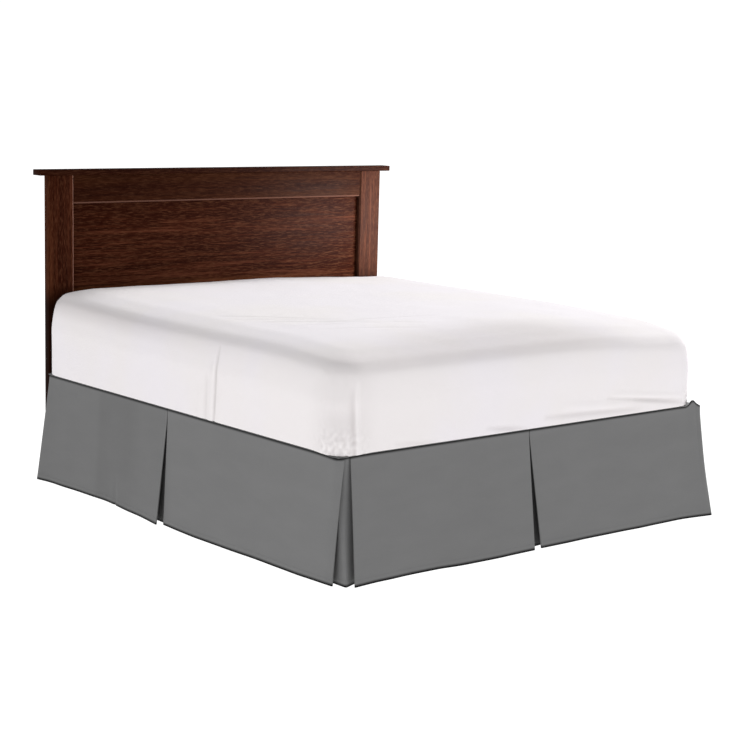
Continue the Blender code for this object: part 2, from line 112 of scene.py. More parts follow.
class Finish:
    """A material in the making: a node graph that ends in one Principled shader."""

    def __init__(self, name, constants):
        self.material = bpy.data.materials.new(name)
        self.material.use_nodes = True
        self.tree = self.material.node_tree
        self.shader = self.tree.nodes["Principled BSDF"]
        for socket, value in constants.items():
            self.shader.inputs[socket].default_value = value

    def node(self, kind, settings=None, sockets=None, output=0):
        """Add a node. Its settings are set first, then its sockets get values or links."""
        made = self.tree.nodes.new(kind)
        for setting, value in (settings or {}).items():
            if setting == "stops":
                self.set_stops(made.color_ramp.elements, value)
            else:
                setattr(made, setting, value)
        for socket, value in (sockets or {}).items():
            self.feed(made.inputs[socket], value)
        return Value(self, made.outputs[output])

    def set_stops(self, elements, stops):
        for element, (place, colour) in zip((elements[0], elements[-1]), (stops[0], stops[-1])):
            element.position = place
            element.color = (*colour, 1)
        for place, colour in stops[1:-1]:
            elements.new(place).color = (*colour, 1)

    def feed(self, socket, value):
        if isinstance(value, Value):
            self.tree.links.new(value.socket, socket)
        elif socket.type == "RGBA":
            socket.default_value = (*value, 1)
        else:
            socket.default_value = value

    def place(self, scale=(1, 1, 1), shift=(0, 0, 0), uv_map=None):
        """The surface's own coordinates in metres, stretched and shifted for a pattern."""
        if uv_map:
            coordinates = self.node("ShaderNodeUVMap", {"uv_map": uv_map})
        else:
            coordinates = self.node("ShaderNodeTexCoord", output="Object")
        return self.node(
            "ShaderNodeMapping", sockets={"Vector": coordinates, "Location": shift, "Scale": scale}
        )

    def split(self, place):
        """A place's three coordinates, each as a Value."""
        axes = self.node("ShaderNodeSeparateXYZ", sockets={0: place})
        return [Value(self, socket) for socket in axes.socket.node.outputs]

    def grain(self, place, scale, detail=2, roughness=0.5, distortion=0.0):
        """Noise from 0 to 1."""
        return self.node(
            "ShaderNodeTexNoise",
            sockets={
                "Vector": place,
                "Scale": scale,
                "Detail": detail,
                "Roughness": roughness,
                "Distortion": distortion,
            },
        )

    def remap(self, value, low, high, to_low, to_high, ease="LINEAR"):
        return self.node(
            "ShaderNodeMapRange",
            {"interpolation_type": ease},
            {"Value": value, "From Min": low, "From Max": high, "To Min": to_low, "To Max": to_high},
        )

    def blend(self, share, first, second):
        """Two colours mixed."""
        colours = {"Factor": share, "A": first, "B": second}
        made = self.tree.nodes.new("ShaderNodeMix")
        made.data_type = "RGBA"
        for socket in made.inputs:
            if socket.enabled and socket.name in colours:
                self.feed(socket, colours[socket.name])
        return Value(self, next(socket for socket in made.outputs if socket.enabled))

    def emboss(self, height, depth):
        """Relief of the given depth in metres, fed to the shader's normal."""
        bump = self.node("ShaderNodeBump", sockets={"Strength": 1.0, "Distance": depth, "Height": height})
        self.feed(self.shader.inputs["Normal"], bump)


def powder_coat():
    finish = Finish("black_powder_coat", {"Base Color": (*STEEL_BLACK, 1), "Specular IOR Level": 0.4})
    orange_peel = finish.grain(finish.place(), 900, detail=1)
    wear = finish.grain(finish.place(), 9, detail=3)
    finish.feed(finish.shader.inputs["Roughness"], finish.remap(wear, 0.3, 0.7, 0.42, 0.58))
    finish.emboss(orange_peel, 0.00008)
    return finish.material


def dress(node, material):
    """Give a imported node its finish."""
    node.data.materials.clear()
    node.data.materials.append(material)


steel = powder_coat()
for name in sorted(nodes):
    if name.startswith(STEEL_WORDS):
        dress(nodes[name], steel)


# The box springs
# Two half-width wooden boxes of springs, each in a pale woven cover that is stapled underneath and
# has a corded seam round its top and bottom edges.
TICKING_PALE = (0.60, 0.575, 0.52)
TICKING_SHADE = (0.50, 0.475, 0.42)
TICKING_YARN = 0.0016
BOX_CORNER = 0.030
BOX_RIM = 0.010
CORD_RADIUS = 0.0035
CORD_SIDES = 10
CORNER_STEPS = 5
RIM_STEPS = 3
TOUCHING = 1e-5

# The platform lies on them, and sags a little where its foot corners overhang their round corners
deck_low, deck_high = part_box("skirt_deck")
PLATFORM_HALF_WIDTH = deck_high.x
PLATFORM_HALF_LENGTH = deck_high.y
DROOP_DEPTH = 0.005
DROOP_REACH = 0.170


def threads(finish, yarn):
    """Waves of one yarn's width along all three axes, for a weave's relief."""
    turn = 2 * math.pi / yarn
    return sum(axis.sine() for axis in finish.split(finish.place(scale=(turn, turn, turn))))


def ticking():
    finish = Finish("box_spring_cover", {"Roughness": 0.92, "Sheen Weight": 0.15})
    spread = finish.grain(finish.place(scale=(1, 1, 6)), 7, detail=4)
    shade = finish.remap(spread, 0.35, 0.65, 0.0, 1.0)
    finish.feed(finish.shader.inputs["Base Color"], finish.blend(shade, TICKING_PALE, TICKING_SHADE))
    finish.emboss(threads(finish, TICKING_YARN), 0.00006)
    return finish.material


def new_piece(name, mesh, material, smooth_angle=40):
    """A finished mesh as a piece of the object, with its edges smooth up to an angle."""
    mesh.materials.clear()
    mesh.materials.append(material)
    mesh.shade_smooth()
    mesh.set_sharp_from_angle(angle=math.radians(smooth_angle))
    piece = bpy.data.objects.new(name, mesh)
    bpy.context.scene.collection.objects.link(piece)
    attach(piece, "root")
    return piece


def mesh_of(shape, name):
    mesh = bpy.data.meshes.new(name)
    shape.to_mesh(mesh)
    shape.free()
    return mesh


def steps(start, end, count):
    return [start + (end - start) * i / count for i in range(count + 1)]


def round_edges(shape, edges, radius, segments):
    """Round the edges, and return the new faces."""
    return bmesh.ops.bevel(
        shape,
        geom=edges,
        offset=radius,
        offset_type="OFFSET",
        segments=segments,
        profile=0.5,
        affect="EDGES",
        material=-1,
    )["faces"]


def box_shape(low, high):
    """A plain box between two corners."""
    shape = bmesh.new()
    placed = Matrix.Translation((high + low) / 2) @ Matrix.Diagonal((*(high - low), 1))
    bmesh.ops.create_cube(shape, size=1, matrix=placed)
    return shape


def rounded_box(low, high):
    """A box with round upright corners and soft top and bottom edges."""
    shape = box_shape(low, high)
    upright = [e for e in shape.edges if abs(e.verts[0].co.z - e.verts[1].co.z) > (high - low).z / 2]
    round_edges(shape, upright, BOX_CORNER, CORNER_STEPS)
    for level in (low.z, high.z):
        ring = [e for e in shape.edges if all(abs(v.co.z - level) < TOUCHING for v in e.verts)]
        round_edges(shape, ring, BOX_RIM, RIM_STEPS)
    return shape


def cord_ring(low, high, corner, level):
    """A corded seam round a box at one level, as a swept tube."""
    path = bpy.data.curves.new("cord", "CURVE")
    path.dimensions = "3D"
    path.bevel_depth = CORD_RADIUS
    path.bevel_resolution = (CORD_SIDES - 4) // 2
    line = path.splines.new("POLY")
    points = []
    middle = (low + high) / 2
    for quarter, (x, y) in enumerate(((high.x, high.y), (low.x, high.y), (low.x, low.y), (high.x, low.y))):
        centre = Vector((x - math.copysign(corner, x - middle.x), y - math.copysign(corner, y - middle.y)))
        for angle in steps(quarter * math.pi / 2, (quarter + 1) * math.pi / 2, CORNER_STEPS):
            points.append(centre + corner * Vector((math.cos(angle), math.sin(angle))))
    line.points.add(len(points) - 1)
    for point, place in zip(line.points, points):
        point.co = (place.x, place.y, level, 1)
    line.use_cyclic_u = True
    swept = bpy.data.objects.new("cord", path)
    mesh = bpy.data.meshes.new_from_object(swept)
    bpy.data.objects.remove(swept)
    return mesh


def corner_droop(x, y):
    """How far the platform sags where a foot corner overhangs the round corner of the box springs."""
    corner = Vector((math.copysign(PLATFORM_HALF_WIDTH, x), -PLATFORM_HALF_LENGTH))
    near = max(0.0, 1 - (Vector((x, y)) - corner).length / DROOP_REACH)
    return DROOP_DEPTH * near * near


cover_finish = ticking()
for word in ("left", "right"):
    low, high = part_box(f"box_spring_{word}")
    cover = rounded_box(low, high)
    inset = Vector((CORD_RADIUS, CORD_RADIUS, 0))
    for level in (low.z + CORD_RADIUS, high.z - CORD_RADIUS):
        cover.from_mesh(cord_ring(low + inset, high - inset, BOX_CORNER - CORD_RADIUS, level))
    for vert in cover.verts:
        if vert.co.z > (low.z + high.z) / 2:
            vert.co.z -= corner_droop(vert.co.x, vert.co.y)
    cover_mesh = mesh_of(cover, "box_spring_cover")
    piece = new_piece(f"box_spring_cover_{word}", cover_mesh, cover_finish)
    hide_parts(f"box_spring_{word}")


# The headboard
# Boards with a dark reddish-brown stained veneer under a satin lacquer: two posts, a cap, two rails
# and a thinner panel that sits back between them. The posts' grain runs up and the rest runs across.
# The frame's inner edges have a wider chamfer, with a painted highlight: a paler colour mixed in.
WOOD_DARK = (0.0190, 0.0030, 0.0010)
WOOD_MIDDLE = (0.0370, 0.0080, 0.0030)
WOOD_LIGHT = (0.0760, 0.0215, 0.0105)
WOOD_FLECK = (0.1150, 0.0440, 0.0210)
WOOD_GOLD = (0.1600, 0.0610, 0.0200)
WOOD_PAINTED_LIGHT = (0.2600, 0.1300, 0.0950)
WOOD_PAINTED_SHADE = (0.0040, 0.0010, 0.0005)
BAND_STRETCH = 0.03
GRAIN_STRETCH = 0.035
FLECK_STRETCH = 0.065
BOARD_EDGE = 0.0030
INNER_CHAMFER = 0.0065
# Painted shade on the posts between these two heights, down behind the bed, not on their back faces
POST_SHADE_HEIGHTS = (0.74, 0.86)
POST_SHADE_SHARE = 0.85
POST_BACK = 1.085

# A board: where its stretch of grain lies, how light and how golden it is, whether its grain runs up,
# which way its chamfered side faces, how strong the painted highlight on that chamfer is, how much
# painted shade darkens the whole board, and how much painted sheen, a pale reflection, it has
Board = namedtuple(
    "Board",
    "name shift tone gold upright inner rubbed hidden bloom",
    defaults=(False, None, 0.0, 0.0, 0.0),
)
BOARDS = [
    Board("post_left", shift=3.1, tone=0.75, gold=0.10, upright=True, inner=(1, 0, 0), rubbed=0.95),
    Board(
        "post_right",
        shift=7.7,
        tone=1.70,
        gold=0.10,
        upright=True,
        inner=(-1, 0, 0),
        rubbed=0.1,
        bloom=0.085,
    ),
    Board("cap", shift=1.4, tone=0.35, gold=0.0, hidden=0.45),
    Board("top_rail", shift=5.2, tone=0.50, gold=0.15, inner=(0, 0, -1), rubbed=0.45, hidden=0.38),
    Board("bottom_rail", shift=9.5, tone=1.00, gold=0.30, inner=(0, 0, 1), rubbed=0.3, hidden=0.3),
    Board("panel", shift=12.8, tone=1.05, gold=0.65),
]


def stained_veneer(board):
    """Veneer for one board, with its own stretch of grain."""
    finish = Finish(f"veneer_{board.name}", {"Specular IOR Level": 0.012})

    def along(stretch):
        """The surface's coordinates, with a pattern drawn out along the grain."""
        scale = (1, 1, stretch) if board.upright else (stretch, 1, 1)
        return finish.place(scale, (board.shift, 0.37 * board.shift, 0.71 * board.shift))

    bands = along(BAND_STRETCH)
    drift = finish.grain(bands, 3.5, detail=2, distortion=0.6)
    flow = finish.grain(bands, 22, detail=4, roughness=0.60, distortion=0.9)
    streaks = finish.grain(along(GRAIN_STRETCH), 120, detail=3, roughness=0.60, distortion=0.3)
    flecks = finish.grain(along(FLECK_STRETCH), 480, detail=2, roughness=0.55)
    tone = finish.remap(0.22 * drift + 0.38 * flow + 0.40 * streaks, 0.44, 0.58, 0.0, board.tone)
    veneer = finish.node(
        "ShaderNodeValToRGB",
        {"stops": [(0.0, WOOD_DARK), (0.50, WOOD_MIDDLE), (1.0, WOOD_LIGHT)]},
        {"Fac": tone},
    )
    glow = finish.remap(drift, 0.47, 0.62, 0.0, board.gold, "SMOOTHSTEP")
    glow = glow * finish.remap(flow, 0.40, 0.60, 0.0, 1.0, "SMOOTHSTEP")
    veneer = finish.blend(glow, veneer, WOOD_GOLD)
    veneer = finish.blend(finish.remap(flecks, 0.50, 0.66, 0.0, 0.52), veneer, WOOD_FLECK)
    veneer = finish.blend(finish.remap(flecks, 0.34, 0.46, 0.45, 0.0), veneer, WOOD_DARK)
    # Painted sheen: a pale reflection mixed evenly over the whole board
    if board.bloom:
        veneer = finish.blend(board.bloom, veneer, WOOD_PAINTED_LIGHT)
    # Painted shade: a near-black mixed evenly over the whole board
    if board.hidden:
        veneer = finish.blend(board.hidden, veneer, WOOD_PAINTED_SHADE)
    # Painted highlight: the chamfer's marked faces are mixed toward a pale colour
    if board.inner:
        rubbed = finish.node("ShaderNodeAttribute", {"attribute_name": "rubbed"}, output="Fac")
        veneer = finish.blend(rubbed * board.rubbed, veneer, WOOD_PAINTED_LIGHT)
    # Painted shade on the posts' lower part, behind the bed
    if board.upright:
        _, depth, height = finish.split(finish.place())
        shade = finish.remap(height, *POST_SHADE_HEIGHTS, POST_SHADE_SHARE, 0.0, "SMOOTHSTEP")
        shade = shade * finish.remap(depth, POST_BACK - 0.006, POST_BACK - 0.001, 1.0, 0.0)
        veneer = finish.blend(shade, veneer, WOOD_PAINTED_SHADE)
    finish.feed(finish.shader.inputs["Base Color"], veneer)
    finish.feed(finish.shader.inputs["Roughness"], finish.remap(streaks, 0.3, 0.7, 0.40, 0.52))
    finish.emboss(flecks, 0.00010)
    return finish.material


def build_board(board):
    """A board with softened edges, and a wider chamfer on the front edge of its inner side."""
    low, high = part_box(f"headboard_{board.name}")
    shape = box_shape(low, high)
    if board.inner:
        rubbed = shape.faces.layers.float.new("rubbed")
        spans = zip(low, high, board.inner)
        edge_middle = Vector([(start + end) / 2 + way * (end - start) / 2 for start, end, way in spans])
        edge_middle.y = low.y
        chamfered = [
            edge
            for edge in shape.edges
            if (edge.verts[0].co.lerp(edge.verts[1].co, 0.5) - edge_middle).length < TOUCHING
        ]
        # The chamfer's faces are marked for the painted highlight
        for face in round_edges(shape, chamfered, INNER_CHAMFER, 1):
            face[rubbed] = 1.0
    sharp = [e for e in shape.edges if e.calc_face_angle(0) > math.radians(80)]
    round_edges(shape, sharp, BOARD_EDGE, 2)
    return mesh_of(shape, f"{board.name}_board")


for board in BOARDS:
    piece = new_piece(f"{board.name}_board", build_board(board), stained_veneer(board), 30)
    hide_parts(f"headboard_{board.name}")


# The skirt's platform
# Plain cloth that lies between the mattress and the box springs and carries the drop at its border.
# Only its rim shows.
GREY_CLOTH = (0.172, 0.172, 0.1725)
GREY_SHADE = (0.158, 0.158, 0.159)
CLOTH_YARN = 0.0009
SKIRT_CLOTH_THICK = 0.0010
PLATFORM_ROWS = 60
PLATFORM_CORNER = 0.028
HEM_DEPTH = 0.025
HEM_STITCH = 0.0035
INSIDE_SHADE = 0.55
# Where the painted shade line fades below the seam, and where it begins and is full above the hem's edge
SEAM_LINE = (0.0035, 0.0110)
HEM_LINE = (0.0130, 0.0050)


def brushed_cloth(name, length=None):
    """Brushed polyester weave. A cloth with a length has a seam at its top, and a stitched hem."""
    finish = Finish(
        name, {"Roughness": 0.9, "Specular IOR Level": 0.2, "Sheen Weight": 0.12, "Sheen Roughness": 0.5}
    )
    along, drop, _ = finish.split(finish.place(uv_map="cloth"))
    nap = finish.grain(finish.place(scale=(1, 3, 1), uv_map="cloth"), 5, detail=4, roughness=0.6)
    slubs = finish.grain(finish.place(scale=(1, 24, 1), uv_map="cloth"), 36, detail=2)
    mottle = finish.grain(finish.place(uv_map="cloth"), 480, detail=1)
    warp = (along * (2 * math.pi / CLOTH_YARN)).sine()
    weft = (drop * (2 * math.pi / CLOTH_YARN)).sine()
    shade = finish.remap(nap, 0.35, 0.65, 0.0, 0.55) + finish.remap(slubs, 0.3, 0.7, 0.0, 0.30)
    colour = finish.blend(shade + finish.remap(mottle, 0.3, 0.7, -0.1, 0.15), GREY_CLOTH, GREY_SHADE)
    relief = 0.35 * warp * weft + 0.6 * slubs + 0.5 * mottle
    if length:
        # Painted shade: darker within the pleats, on the head panels and behind the corners' drop edges
        pleat = finish.node("ShaderNodeAttribute", {"attribute_name": "inside"}, output="Fac")
        colour = finish.blend(pleat * INSIDE_SHADE, colour, (0, 0, 0))
        # Painted shade: near-black lines along the seam and at the hem's edge
        at_seam = finish.remap(drop, SEAM_LINE[0], SEAM_LINE[1], 0.95, 0.0)
        at_hem = finish.remap(drop, length - HEM_LINE[0], length - HEM_LINE[1], 0.0, 1.0)
        colour = finish.blend(at_seam + at_hem, colour, (0, 0, 0))
        distance = (drop - (length - HEM_DEPTH)).size()
        groove = finish.remap(distance, 0.0004, 0.0022, 1.0, 0.0, "SMOOTHSTEP")
        beat = (along * (2 * math.pi / HEM_STITCH)).sine()
        thread = finish.remap(distance, 0.0003, 0.0006, 1.0, 0.0) * finish.remap(beat, -0.4, 0.1, 0.0, 1.0)
        relief = relief - 4.0 * groove + 4.0 * thread
        # Painted shade: the stitched groove above the hem is tinted darker
        colour = finish.blend(0.08 * groove, colour, tuple(0.55 * tone for tone in GREY_SHADE))
    finish.feed(finish.shader.inputs["Base Color"], colour)
    finish.emboss(relief, 0.00006)
    return finish.material


def modified(mesh, kind, **settings):
    """A new mesh: the given one after one modifier."""
    holder = bpy.data.objects.new("holder", mesh)
    bpy.context.scene.collection.objects.link(holder)
    modifier = holder.modifiers.new("shaping", kind)
    for setting, value in settings.items():
        setattr(modifier, setting, value)
    shaped = bpy.data.meshes.new_from_object(holder.evaluated_get(bpy.context.evaluated_depsgraph_get()))
    bpy.data.objects.remove(holder)
    return shaped


def thick_cloth(mesh):
    """The mesh as a closed sheet of the skirt's cloth, grown evenly to both sides."""
    return modified(mesh, "SOLIDIFY", thickness=SKIRT_CLOTH_THICK, offset=0)


platform_finish = brushed_cloth("platform_cloth")
platform = bmesh.new()
platform_uv = platform.loops.layers.uv.new("cloth")
bmesh.ops.create_grid(platform, x_segments=PLATFORM_ROWS, y_segments=PLATFORM_ROWS, size=1, calc_uvs=True)
platform_middle = (deck_low.z + deck_high.z) / 2
for vert in platform.verts:
    x, y = vert.co.x * PLATFORM_HALF_WIDTH, vert.co.y * PLATFORM_HALF_LENGTH
    over_x = abs(x) - (PLATFORM_HALF_WIDTH - PLATFORM_CORNER)
    over_y = abs(y) - (PLATFORM_HALF_LENGTH - PLATFORM_CORNER)
    reach = math.hypot(over_x, over_y)
    if over_x > 0 and over_y > 0 and reach > PLATFORM_CORNER:
        x -= math.copysign(over_x * (1 - PLATFORM_CORNER / reach), x)
        y -= math.copysign(over_y * (1 - PLATFORM_CORNER / reach), y)
    vert.co = (x, y, platform_middle - corner_droop(x, y))
for face in platform.faces:
    for loop in face.loops:
        loop[platform_uv].uv = loop.vert.co.xy
platform_mesh = thick_cloth(mesh_of(platform, "platform"))
piece = new_piece("platform_cloth", platform_mesh, platform_finish)
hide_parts("skirt_deck")


# The left, foot and right drops
# Each is one strip of grey cloth sewn to the platform's border, with a turned and stitched hem and a
# box pleat at its middle. Its ends fold back behind the split foot corners.
INCH = 0.0254
DROP_LENGTH = 18 * INCH
PLEAT_LAYER = 0.003
PLEAT_DEPTH = 0.075
PLEAT_GAP = 0.0024
HEM_FOLD = 0.003
HEM_STAND = 0.0004
SIDE_HEAD_END = 0.985
SIDE_PLEAT_Y = 0.055
SIDE_PLEAT_INNER_OUTS = (0.022, 0.030)
SIDE_TURN_HEM = -0.950
SIDE_RETURN_OUT = 0.012
FOOT_PLEAT_X = -0.031
FOOT_PLEAT_INNER_OUTS = (0.045, 0.028)
FOOT_TURN_HEM = 0.900
LEFT_RETURN_OUT = 0.042
RIGHT_RETURN_OUT = 0.060
CORNER_WRAP = 0.003
CORNER_SPLIT = 0.027
CORNER_GAP = 0.004
SPLIT_EASE = 0.85
# The side drops' head panels get a little painted shade, and more in a soft trough between two places
HEAD_PANEL_SHADE = 0.14
HEAD_SHADE = 0.14
HEAD_HOLLOW_START = (0.20, 0.34)
HEAD_HOLLOW_END = (0.53, 0.58)
# How far down, as a share of the drop, the cloth hangs straight before it swings out
SEAM_HOLD = 0.045
# Beside a fold that isn't free, the soft folds die away over this share of the panel
FOLD_FADE = 0.2
UNEVENNESS = 0.0016
# The foot drop's seam lifts in a small peak at its right end, then sags and stands out
TIP_REACH = 0.024
TIP_RISE = 0.024
TIP_SAG = 0.004
TIP_OUT = 0.018
PANEL_COLUMNS = 100
CORNER_COLUMNS = 16
LAYER_COLUMNS = 12
FOLD_COLUMNS = 6
DROP_ROWS = 46

SEAM_INSET = 0.0006
PANEL_X = PLATFORM_HALF_WIDTH - SEAM_INSET
PANEL_Y = PLATFORM_HALF_LENGTH - SEAM_INSET
ARC_RADIUS = PLATFORM_CORNER - SEAM_INSET
ARC_LENGTH = ARC_RADIUS * math.pi / 2
FOOT_FLAT = PANEL_X - ARC_RADIUS
SIDE_FLAT = PANEL_Y - ARC_RADIUS

# How far each panel's hem stands out from the platform's border, at places along it
Flare = namedtuple("Flare", "at out")
HEAD_PANEL_FLARE = [
    Flare(0.985, 0.064),
    Flare(0.880, 0.046),
    Flare(0.700, 0.034),
    Flare(0.500, 0.031),
    Flare(0.310, 0.037),
    Flare(0.160, 0.050),
    Flare(0.036, 0.065),
]
FOOT_PANEL_FLARE = [
    Flare(0.020, 0.041),
    Flare(-0.140, 0.048),
    Flare(-0.450, 0.043),
    Flare(-0.740, 0.035),
    Flare(-0.950, 0.027),
    Flare(-1.024, 0.022),
]
LEFT_PANEL_FLARE = [
    Flare(-0.928, 0.068),
    Flare(-0.800, 0.058),
    Flare(-0.655, 0.055),
    Flare(-0.540, 0.061),
    Flare(-0.430, 0.073),
    Flare(-0.200, 0.074),
    Flare(-0.046, 0.073),
]
RIGHT_PANEL_FLARE = [
    Flare(-0.006, 0.068),
    Flare(0.200, 0.070),
    Flare(0.480, 0.071),
    Flare(0.700, 0.074),
    Flare(0.850, 0.083),
    Flare(0.968, 0.101),
]

# Soft upright folds on the panels: where each one is, how wide, how far it stands out at the hem, and
# how far down the cloth it begins
Swell = namedtuple("Swell", "at width out start")
SIDE_SWELLS = [
    Swell(0.80, 0.070, 0.0040, 0.25),
    Swell(0.47, 0.085, -0.0070, 0.00),
    Swell(0.40, 0.012, -0.0045, 0.72),
    Swell(0.28, 0.060, 0.0030, 0.30),
    Swell(-0.22, 0.080, 0.0025, 0.35),
    Swell(-0.58, 0.100, -0.0030, 0.20),
    Swell(-0.84, 0.060, 0.0025, 0.30),
]
FOOT_SWELLS = [
    Swell(-0.76, 0.060, 0.0030, 0.30),
    Swell(-0.50, 0.080, -0.0035, 0.15),
    Swell(-0.24, 0.070, 0.0025, 0.35),
    Swell(0.26, 0.090, -0.0030, 0.25),
    Swell(0.55, 0.070, 0.0030, 0.20),
    Swell(0.80, 0.060, -0.0030, 0.30),
]


def border(distance, out):
    """A plan point beside the platform's border, at a distance along it from the foot's middle."""
    side = 1 if distance >= 0 else -1
    along = abs(distance)
    if along <= FOOT_FLAT:
        return Vector((side * along, -(PANEL_Y + out)))
    turn = (along - FOOT_FLAT) / ARC_RADIUS
    if turn < math.pi / 2:
        reach = ARC_RADIUS + out
        return Vector(
            (side * (FOOT_FLAT + reach * math.sin(turn)), -(SIDE_FLAT + reach * math.cos(turn)))
        )
    return Vector((side * (PANEL_X + out), along - FOOT_FLAT - ARC_LENGTH - SIDE_FLAT))


def side_border(side, y, out):
    """A plan point beside the platform's border, at a place along one of its sides."""
    return border(side * (FOOT_FLAT + ARC_LENGTH + SIDE_FLAT + y), out)


def side_hem_place(side, y, out):
    return Vector((side * (PANEL_X + out), y))


def foot_hem_place(x, out):
    return Vector((x, -(PANEL_Y + out)))


def flare_at(rows, at):
    """The out value at a place, on a smooth curve through the table's rows."""
    rows = sorted(rows)
    at = min(max(at, rows[0].at), rows[-1].at)
    span = max(i for i, row in enumerate(rows[:-1]) if row.at <= at)

    def slope(i):
        before, after = rows[max(i - 1, 0)], rows[min(i + 1, len(rows) - 1)]
        return (after.out - before.out) / (after.at - before.at)

    width = rows[span + 1].at - rows[span].at
    t = (at - rows[span].at) / width
    return (
        rows[span].out * (1 + 2 * t) * (1 - t) ** 2
        + slope(span) * width * t * (1 - t) ** 2
        + rows[span + 1].out * t * t * (3 - 2 * t)
        - slope(span + 1) * width * t * t * (1 - t)
    )


# A line of the cloth from its seam to its hem: a place (along, out) at each end, how much of the soft
# folds it takes, how late it swings out, and its painted shade from 0 to 1, full deep in a pleat
Line = namedtuple("Line", "top hem swell ease inside")
# An edge of cloth that shades what hangs behind it: its seam and hem places in plan, and how far and
# how strongly it shades at the hem
Edge = namedtuple("Edge", "top hem reach strength")


def smooth_share(value, start, end):
    """0 before start, 1 after end, and a soft change between them."""
    t = min(max((value - start) / (end - start), 0.0), 1.0)
    return t * t * (3 - 2 * t)


def panel(
    flare_rows, top_ends, hem_ends, count=PANEL_COLUMNS, free_start=True, free_end=True, eases=(1, 1)
):
    """The lines of a panel between its two ends, from seam to hem."""
    head = flare_rows is HEAD_PANEL_FLARE
    lines = []
    for i in range(count + 1):
        t = i / count
        top = top_ends[0] + (top_ends[1] - top_ends[0]) * t
        hem = hem_ends[0] + (hem_ends[1] - hem_ends[0]) * t
        swell = 1 if free_start else min(1, t / FOLD_FADE)
        swell *= 1 if free_end else min(1, (1 - t) / FOLD_FADE)
        ease = eases[0] * (1 - t) ** 3 + eases[1] * t**3 + 1 - (1 - t) ** 3 - t**3
        # Painted shade over the head panel, more across the soft trough
        shade = HEAD_SHADE * (smooth_share(hem, *HEAD_HOLLOW_START) - smooth_share(hem, *HEAD_HOLLOW_END))
        inside = HEAD_PANEL_SHADE + shade if head else 0.0
        lines.append(Line((top, 0.0), (hem, flare_at(flare_rows, hem)), swell, ease, inside))
    return lines


def fold(layer, towards, inwards, top_along, hem_along, hem_out, ease=1.0):
    """The lines of a turn of the cloth about an upright edge, between two pleat layers."""
    lines = []
    top_out = -(layer + 0.5) * PLEAT_LAYER
    for i in range(FOLD_COLUMNS + 1):
        angle = math.pi * (0.5 - i / FOLD_COLUMNS) * inwards
        ahead, aside = towards * (math.cos(angle) - 1), math.sin(angle)
        top = (top_along + PLEAT_LAYER / 2 * ahead, top_out + PLEAT_LAYER / 2 * aside)
        hem = (hem_along + HEM_FOLD * ahead, hem_out + HEM_FOLD * aside)
        # Painted shade: full on the inner layers, growing round the back of the turn
        inside = max(layer, 0.5 - 0.5 * math.sin(angle))
        lines.append(Line(top, hem, 0.0, ease, inside))
    return lines


def return_end(top, hem, hem_out):
    """The line where the cloth that is folded back behind a split corner ends."""
    return [Line((top, -PLEAT_LAYER), (hem, hem_out), 0.0, 1.0, 1.0)]


def layer(before, after, count=LAYER_COLUMNS):
    """The lines between two folds, without the folds' own."""
    start, end = before[-1], after[0]
    lines = []
    for i in range(1, count):
        t = i / count
        top = Vector(start.top).lerp(Vector(end.top), t)
        hem = Vector(start.hem).lerp(Vector(end.hem), t)
        lines.append(Line(tuple(top), tuple(hem), 0.0, start.ease + (end.ease - start.ease) * t, 1.0))
    return lines


def box_pleat(way, at, first, second, first_out, second_out):
    """The lines of a box pleat between two panels' ends, in the order that they are passed one way."""
    first_edge = fold(0, way, 1, at - way * PLEAT_GAP / 2, first.at, first.out - HEM_FOLD)
    first_inner = fold(1, -way, 1, at - way * PLEAT_DEPTH, first.at - way * PLEAT_DEPTH, first_out)
    second_inner = fold(1, way, -1, at + way * PLEAT_DEPTH, second.at + way * PLEAT_DEPTH, second_out)
    second_edge = fold(0, -way, -1, at + way * PLEAT_GAP / 2, second.at, second.out - HEM_FOLD)
    return (
        first_edge
        + layer(first_edge, first_inner)
        + first_inner
        + layer(first_inner, second_inner, 2 * LAYER_COLUMNS)
        + second_inner
        + layer(second_inner, second_edge)
        + second_edge
    )


def drop_levels():
    """Shares of the drop at which the cloth has a row, closer together at the seam and the hem."""
    hem_turn = 1 - HEM_DEPTH / DROP_LENGTH
    near_seam = [0.0, 0.004, 0.012, 0.028]
    near_hem = [hem_turn - 0.004, hem_turn + 0.004, (hem_turn + 1) / 2, 0.994, 1.0]
    middle = steps(near_seam[-1], near_hem[0], DROP_ROWS - len(near_seam) - len(near_hem) + 1)
    return near_seam + middle[1:-1] + near_hem


def soft_fold(swells, along, fall):
    """How far the soft upright folds and the cloth's slight unevenness push it out."""
    out = 0.0
    for swell in swells:
        if fall > swell.start:
            reach = (along - swell.at) / swell.width
            out += swell.out * math.exp(-reach * reach) * ((fall - swell.start) / (1 - swell.start)) ** 0.8
    return out + UNEVENNESS * fall * noise.noise(Vector((along * 4.0, fall * 1.3, len(swells))))


def late_start(fall):
    """The share of the swing at a share of the drop: the cloth leaves the seam straight down."""

    def swing(share):
        return share - SEAM_HOLD * (1 - math.exp(-share / SEAM_HOLD))

    return swing(fall) / swing(1)


def corner_tip(along, fall):
    """How far the foot drop rises and stands out at its right end."""
    reach = (along - FOOT_FLAT) / TIP_REACH
    past = smooth_share(reach, 0.1, 1)
    rise = TIP_RISE * math.exp(-((reach + 0.5) ** 2)) - TIP_SAG * past
    return rise * (1 - fall) ** 4, TIP_OUT * past * (1 - fall)


def edge_shade(plan, fall, edge):
    """How much an edge of cloth in front shades a point behind it. The shade widens with the split."""
    swing = late_start(fall)
    away = (plan - edge.top.lerp(edge.hem, swing**SPLIT_EASE)).length
    return edge.strength * math.exp(-((away / (edge.reach * (0.3 + 0.7 * swing))) ** 2))


